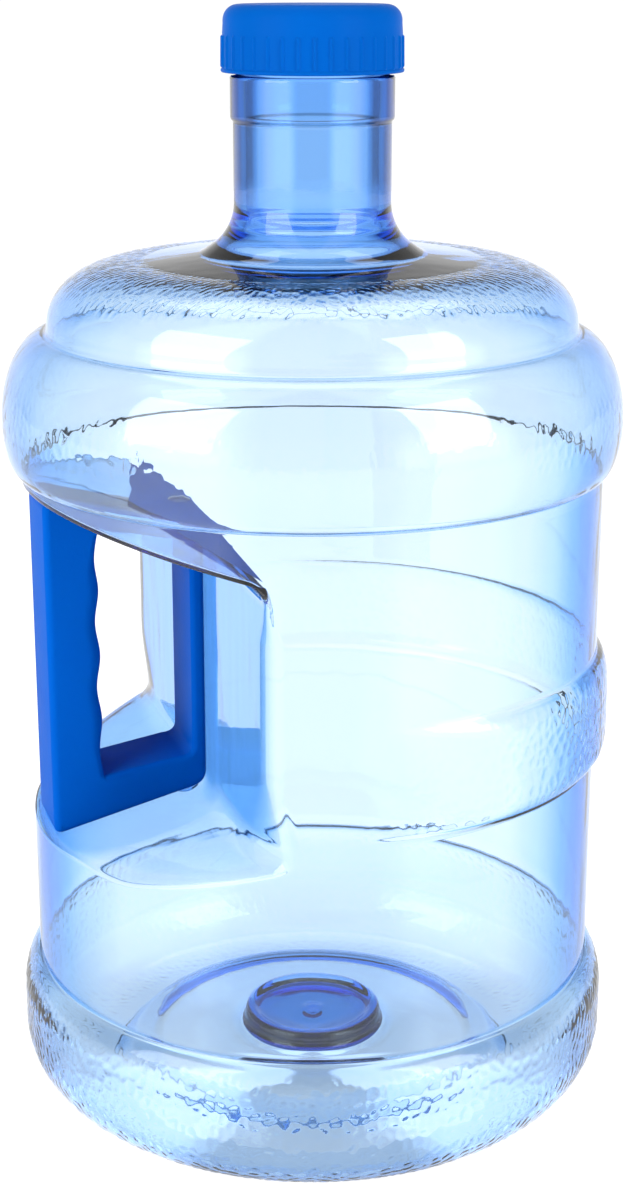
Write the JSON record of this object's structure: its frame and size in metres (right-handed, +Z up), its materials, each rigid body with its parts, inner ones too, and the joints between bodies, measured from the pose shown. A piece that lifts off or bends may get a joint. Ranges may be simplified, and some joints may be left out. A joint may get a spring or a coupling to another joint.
{
  "type": "water jug",
  "caption": "Round clear blue plastic water jug with rolled rings, a carry handle set into one side and a ribbed screw cap on a straight neck.",
  "frame": {"origin": "middle of the flat ring that the jug stands on, on the jug's axis", "axes": "+Z up along the jug's axis to the cap, the handle on the -X side, the jug mirrored about the XZ plane"},
  "size_m": [0.2136, 0.2136, 0.384],
  "materials": {
    "clear_blue_plastic": "clear and polished, hammered on the rings and the shoulder",
    "handle_plastic": "satin moulded",
    "cap_plastic": "satin moulded",
    "liner_foam": "soft foam"
  },
  "bodies": {
    "jug": {"bottle": "clear_blue_plastic", "handle": "handle_plastic"},
    "liner": {"cap_liner": "liner_foam"},
    "cap": {"cap": "cap_plastic"}
  },
  "joints": [
    {"name": "cap_lift", "type": "slide", "parent": "jug", "child": "liner", "axis": [0, 0, 1], "range_m": [0, 0.0211]},
    {"name": "cap_turn", "type": "hinge", "parent": "liner", "child": "cap", "pos_m": [0, 0, 0.37], "axis": [0, 0, 1], "range_deg": [0, 630]}
  ],
  "couplings": [
    {"joint": "cap_lift", "follows": "cap_turn", "m_per_rad": 0.0019099}
  ]
}
